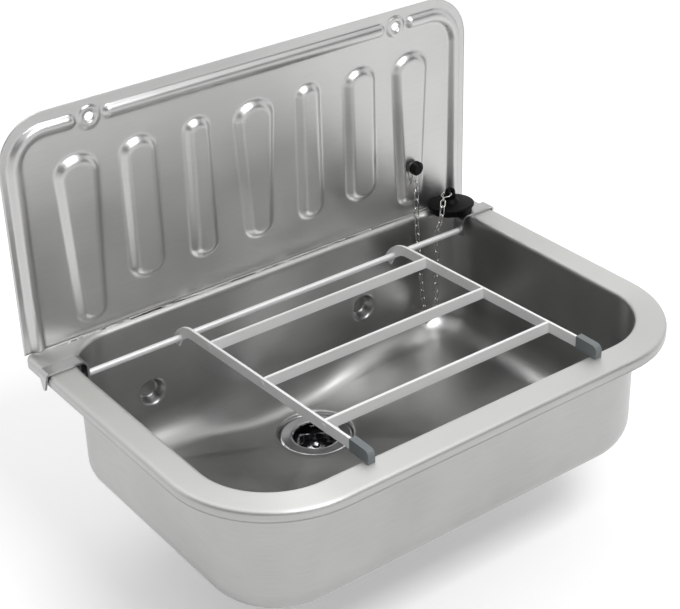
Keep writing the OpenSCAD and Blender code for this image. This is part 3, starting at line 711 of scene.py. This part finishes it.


# %% The sink's brushed steels
# The rim's colour, #CECECC, is painted light on the flat top; its roughness of 0.56 is its own finish.
satin_basin = brushed(
    "satin_brushed_stainless_basin", "#BABAB9", "#A2A2A1", roughness=0.33, spread=0.03, stretch=0.6,
    rim=("#CECECC", 0.56),
)
satin_panel = brushed(
    "satin_brushed_stainless_splashback", "#D0D0CF", "#BCBCBB", roughness=0.34, spread=0.03, stretch=0.6,
)
basin.data.materials.append(satin_basin)
splashback.data.materials.append(satin_panel)
bar_steel = brushed(
    "blasted_flat_bar_stainless", "#F6F6F5", "#EAEAE9", roughness=0.6, spread=0.04, stretch=0.0,
    mapped=False, metal=0.2,
)
rod_steel = brushed(
    "drawn_round_stainless", "#F6F6F6", "#E8E8E8", roughness=0.5, spread=0.03, stretch=0.0,
    mapped=False, metal=0.4,
)
clip_steel = brushed(
    "folded_strip_stainless", "#BEBEBE", "#AAAAAA", roughness=0.3, spread=0.03, stretch=0.0, mapped=False,
)
steels = (satin_basin, satin_panel, bar_steel, rod_steel, clip_steel)
print("brushed steels:", [steel.name for steel in steels])


# %% [markdown]
# ### Polished steel, plated wire, rubber and plastic
#
# The waste is turned and polished, so it mirrors the bars above it. Its bore is painted darker: painted shade
# for the hollow inside it. The distance from the waste's axis tells the two apart. The chain is nickel-plated
# steel wire. The plug is moulded rubber, the feet are grey PVC, and the stud's cap and the waste's nut are
# black polypropylene. The grit is the grain's size in millimetres: under one on moulded skins, several on
# polish.

# %% How polish, plating, rubber and plastic are made
BORE_FADE, BORE_CLEAR, UNEVEN = 0.3, 0.8, 0.15


def plain(name, colour, darker, roughness, metal, grit, lift, ior=1.5, specular=0.5, bore=None):
    """A finish with a fine grain in colour and surface; bore is its axis, its radius and its painted shade
    colour.
    """
    made, tree = blank(name)
    place = add(tree, "ShaderNodeTexCoord")
    grain = add(
        tree, "ShaderNodeTexNoise", {"Scale": 1000.0 / grit, "Detail": 3.0}, {"Vector": (place, "Object")},
    )
    tone = add(
        tree, "ShaderNodeMix", {6: linear(darker), 7: linear(colour)}, {0: (grain, "Fac")}, data_type="RGBA",
    )
    paint = (tone, 2)
    # A bore gets painted shade: inside its radius the colour changes to a darker one.
    if bore:
        bore_x, bore_y, bore_r, bore_painted_shade = bore
        level_place = add(
            tree, "ShaderNodeVectorMath", {1: (1, 1, 0)}, {0: (place, "Object")}, operation="MULTIPLY",
        )
        away = add(
            tree, "ShaderNodeVectorMath", {1: (bore_x * MM, bore_y * MM, 0)}, {0: (level_place, "Vector")},
            operation="DISTANCE",
        )
        out = add(
            tree, "ShaderNodeMapRange",
            {"From Min": (bore_r + BORE_FADE) * MM, "From Max": (bore_r + BORE_CLEAR) * MM},
            {"Value": (away, "Value")},
        )
        shaded = add(
            tree, "ShaderNodeMix", {6: linear(bore_painted_shade)}, {0: (out, "Result"), 7: (tone, 2)},
            data_type="RGBA",
        )
        paint = (shaded, 2)
    rough = add(
        tree, "ShaderNodeMapRange",
        {"To Min": roughness * (1 - UNEVEN), "To Max": roughness * (1 + UNEVEN)},
        {"Value": (grain, "Fac")},
    )
    bump = add(tree, "ShaderNodeBump", {"Strength": lift, "Distance": 0.2 * MM}, {"Height": (grain, "Fac")})
    shader = add(
        tree, "ShaderNodeBsdfPrincipled", {"Metallic": metal, "IOR": ior, "Specular IOR Level": specular},
        {"Base Color": paint, "Roughness": (rough, "Result"), "Normal": (bump, "Normal")},
    )
    add(tree, "ShaderNodeOutputMaterial", None, {"Surface": (shader, "BSDF")})
    return made


# %% The sink's other finishes
polished = plain(
    "polished_turned_stainless", "#EAEAEC", "#DADADC", roughness=0.09, metal=1.0, grit=9.0, lift=0.02,
)
# The waste's bore is painted darker, #6A6A6C: painted shade for its hollow.
turned = plain(
    "turned_stainless_painted_bore_shade", "#EAEAEC", "#DADADC", roughness=0.09, metal=1.0, grit=9.0, lift=0.02,
    bore=(*WASTE, BORE_R, "#6A6A6C"),
)
plated = plain("nickel_plated_wire", "#D9D8D5", "#BBBAB6", roughness=0.16, metal=1.0, grit=3.0, lift=0.08)
plug_rubber = plain(
    "moulded_black_rubber", "#060606", "#030303", roughness=0.5, metal=0.0, grit=0.8, lift=0.25,
    ior=1.52, specular=0.1,
)
foot_pvc = plain(
    "moulded_grey_pvc", "#747A7C", "#64696B", roughness=0.48, metal=0.0, grit=0.7, lift=0.2, ior=1.53,
)
cap_plastic = plain(
    "moulded_black_polypropylene", "#080808", "#040404", roughness=0.38, metal=0.0, grit=1.0, lift=0.15,
    ior=1.49, specular=0.15,
)
chain.data.materials.append(plated)
print("finishes so far:", len(bpy.data.materials))

# %% [markdown]
# ### Pieces that keep their exact shape
#
# The clips, the rod, the bars and the parts of the waste are plain folded, cut or turned pieces, and the
# exact frame already has their shape. Making them again in mesh could only put them out of place, so they
# stay as they are and get the finish of the real piece in their material slots.

# %% Dress the carried-over nodes
finishes = {
    "rim_clip_left": clip_steel, "rim_clip_right": clip_steel, "hinge_rod": rod_steel,
    "side_bar_left": bar_steel, "side_bar_right": bar_steel, "cross_bar_rear": bar_steel,
    "cross_bar_middle": bar_steel, "cross_bar_front": bar_steel, "foot_left": foot_pvc,
    "foot_right": foot_pvc, "waste_flange": turned, "strainer": polished, "flange_gasket": plug_rubber,
    "waste_washer": plug_rubber, "waste_backnut": cap_plastic, "plug_body": plug_rubber,
    "plug_ring": plated, "anchor_ring": plated, "chain_anchor": cap_plastic, "anchor_nut": plated,
}
for name, finish in finishes.items():
    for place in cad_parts[name].material_slots:
        place.material = finish
print("dressed", len(finishes), "nodes")

# %% [markdown]
# ## Studio
#
# Steel has no look of its own: it shows the room. So the studio is built for what the metal sees, as for a
# catalogue. The floor is pale and keeps the sink's shadow. It is lifted a little for rays that go to the
# camera or come back from metal, which makes the background white without more light on the sink.

# %% Which rays see the white background
def shown_rays(tree):
    """1 for rays from the camera, from metal and through glass, and 0 for rays that light the object."""
    ray = add(tree, "ShaderNodeLightPath")
    seen = add(
        tree, "ShaderNodeMath", None, {0: (ray, "Is Camera Ray"), 1: (ray, "Is Glossy Ray")},
        operation="MAXIMUM",
    )
    return add(
        tree, "ShaderNodeMath", None, {0: (seen, 0), 1: (ray, "Is Transmission Ray")}, operation="MAXIMUM",
    )


# %% Floor
FLOOR_HALF, FLOOR_GAP, FLOOR_LIFT = 6.0, 0.0005, 0.26
low = cad_box[0].z - FLOOR_GAP
floor_corners = [(x * FLOOR_HALF, y * FLOOR_HALF, low) for x, y in ((-1, -1), (1, -1), (1, 1), (-1, 1))]
floor_mesh = bpy.data.meshes.new("studio_floor")
floor_mesh.from_pydata(floor_corners, [], [(0, 1, 2, 3)])
floor = bpy.data.objects.new("studio_floor", floor_mesh)
bpy.context.scene.collection.objects.link(floor)
floor_look, tree = blank("studio_floor_paint")
matt = add(tree, "ShaderNodeBsdfDiffuse", {"Color": linear("#F4F4F4")})
lift = add(tree, "ShaderNodeMath", {1: FLOOR_LIFT}, {0: (shown_rays(tree), 0)}, operation="MULTIPLY")
glow = add(tree, "ShaderNodeEmission", {"Color": (1, 1, 1, 1)}, {"Strength": (lift, 0)})
both = add(tree, "ShaderNodeAddShader", None, {0: (matt, "BSDF"), 1: (glow, "Emission")})
add(tree, "ShaderNodeOutputMaterial", None, {"Surface": (both, "Shader")})
floor_mesh.materials.append(floor_look)
print("floor at", round(low, 4), "m")

# %% [markdown]
# The world is white for the same kinds of rays, and dimmer as a light, so matt pieces aren't washed out.

# %% World
SKY_AS_LIGHT, SKY_AS_SEEN = 0.7, 1.0
world = bpy.data.worlds.new("studio")
bpy.context.scene.world = world
world.use_nodes = True
tree = world.node_tree
tree.nodes.clear()
strength = add(
    tree, "ShaderNodeMapRange", {"To Min": SKY_AS_LIGHT, "To Max": SKY_AS_SEEN},
    {"Value": (shown_rays(tree), 0)},
)
sky = add(tree, "ShaderNodeBackground", {"Color": (1, 1, 1, 1)}, {"Strength": (strength, "Result")})
add(tree, "ShaderNodeOutputWorld", None, {"Surface": (sky, "Background")})
print("world:", [node.bl_idname for node in tree.nodes])


# %% [markdown]
# Two soft lamps. The weaker one hangs above and behind the splashback, where the rim and the bars mirror it.
# The stronger one hangs high in front. It lights the faces that look at the camera, draws a line along the
# bead and the tops of the raised panels, and leaves one small highlight in the bowl's far corner. Lamps at
# the sides would have filled the bowl with light, and its walls would have lost their depth.

# %% Lamps
def softbox(name, place, aim, size, power):
    """A square soft lamp that looks at a point."""
    lamp = bpy.data.lights.new(name, "AREA")
    lamp.shape = "RECTANGLE"
    lamp.size, lamp.size_y = size
    lamp.energy = power
    obj = bpy.data.objects.new(name, lamp)
    bpy.context.scene.collection.objects.link(obj)
    obj.location = place
    obj.rotation_euler = (Vector(aim) - Vector(place)).to_track_quat("-Z", "Y").to_euler()


softbox("lamp_above", place=(0.0, 0.6, 1.7), aim=(0, -0.2, 0), size=(1.6, 1.4), power=6)
softbox("lamp_front", place=(0.1, -1.3, 1.8), aim=(0, 0, 0), size=(1.2, 0.7), power=24)
print("lamps:", [light.name for light in bpy.data.lights])

# %% [markdown]
# In a white room the bowl would come out white. Photographers hang a dark card where the steel should go
# dark, and so does this studio: a bent card round the front, hung clear of the floor. The bowl's walls and
# the splashback's flanks mirror it, which draws their forms, and the pale floor under it keeps the outside
# of the basin light. The camera looks through it.

# %% Dark card
CARD_RADIUS, CARD_FOOT, CARD_TOP = 2.6, 0.7, 2.4
CARD_LEFT, CARD_RIGHT, CARD_STEP = -110, 60, 5
card_turns = [math.radians(a) for a in range(CARD_LEFT, CARD_RIGHT + 1, CARD_STEP)]
card_points = []
for a in card_turns:
    for z in (CARD_FOOT, CARD_TOP):
        card_points.append((CARD_RADIUS * math.sin(a), -CARD_RADIUS * math.cos(a), z))
card_faces = [(2 * i, 2 * i + 2, 2 * i + 3, 2 * i + 1) for i in range(len(card_turns) - 1)]
card_mesh = bpy.data.meshes.new("dark_card")
card_mesh.from_pydata(card_points, [], card_faces)
card = bpy.data.objects.new("dark_card", card_mesh)
bpy.context.scene.collection.objects.link(card)
card.visible_camera = False
card_look, tree = blank("dark_card_felt")
felt = add(tree, "ShaderNodeBsdfDiffuse", {"Color": linear("#303030")})
add(tree, "ShaderNodeOutputMaterial", None, {"Surface": (felt, "BSDF")})
card_mesh.materials.append(card_look)
print("card:", len(card_faces), "faces")

# %% Finish
scene = bpy.context.scene
scene.view_settings.view_transform = "Standard"
print("cad box", [[round(c, 4) for c in p] for p in cad_box])
